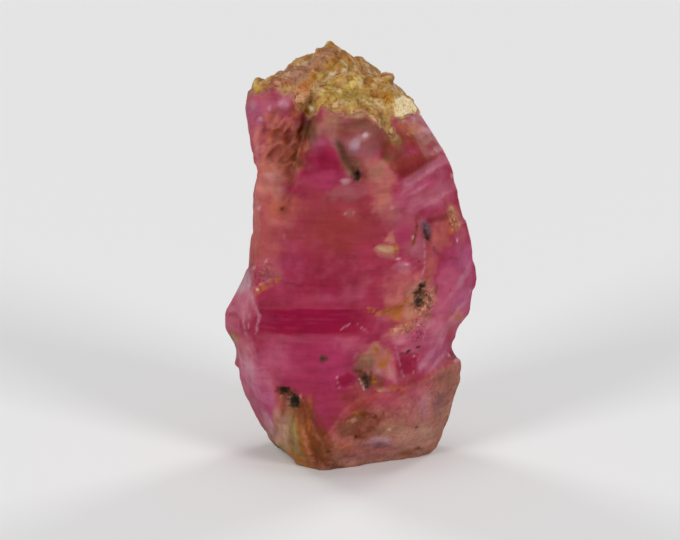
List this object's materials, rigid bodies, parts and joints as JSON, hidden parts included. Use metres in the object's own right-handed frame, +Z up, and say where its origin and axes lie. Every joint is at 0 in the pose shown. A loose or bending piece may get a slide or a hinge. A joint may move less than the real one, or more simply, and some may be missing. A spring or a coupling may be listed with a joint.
{
  "type": "raw ruby crystal",
  "caption": "Rough ruby crystal: a stout broken prism with flat growth faces, a parting band across the front, an ochre crust of host rock on top and a rough foot.",
  "frame": {"origin": "under the middle of the stone's box, on the plane that its base rests on", "axes": "+Z up along the prism, the flat front plate facing -Y, +X to the right seen from the front"},
  "size_m": [0.0124, 0.009, 0.0208],
  "materials": {
    "ruby": "cloudy, half see-through, waxy where broken",
    "host_rock": "matt and granular, ochre to brown"
  },
  "bodies": {
    "root": {"ruby_crystal": "ruby"}
  },
  "joints": []
}
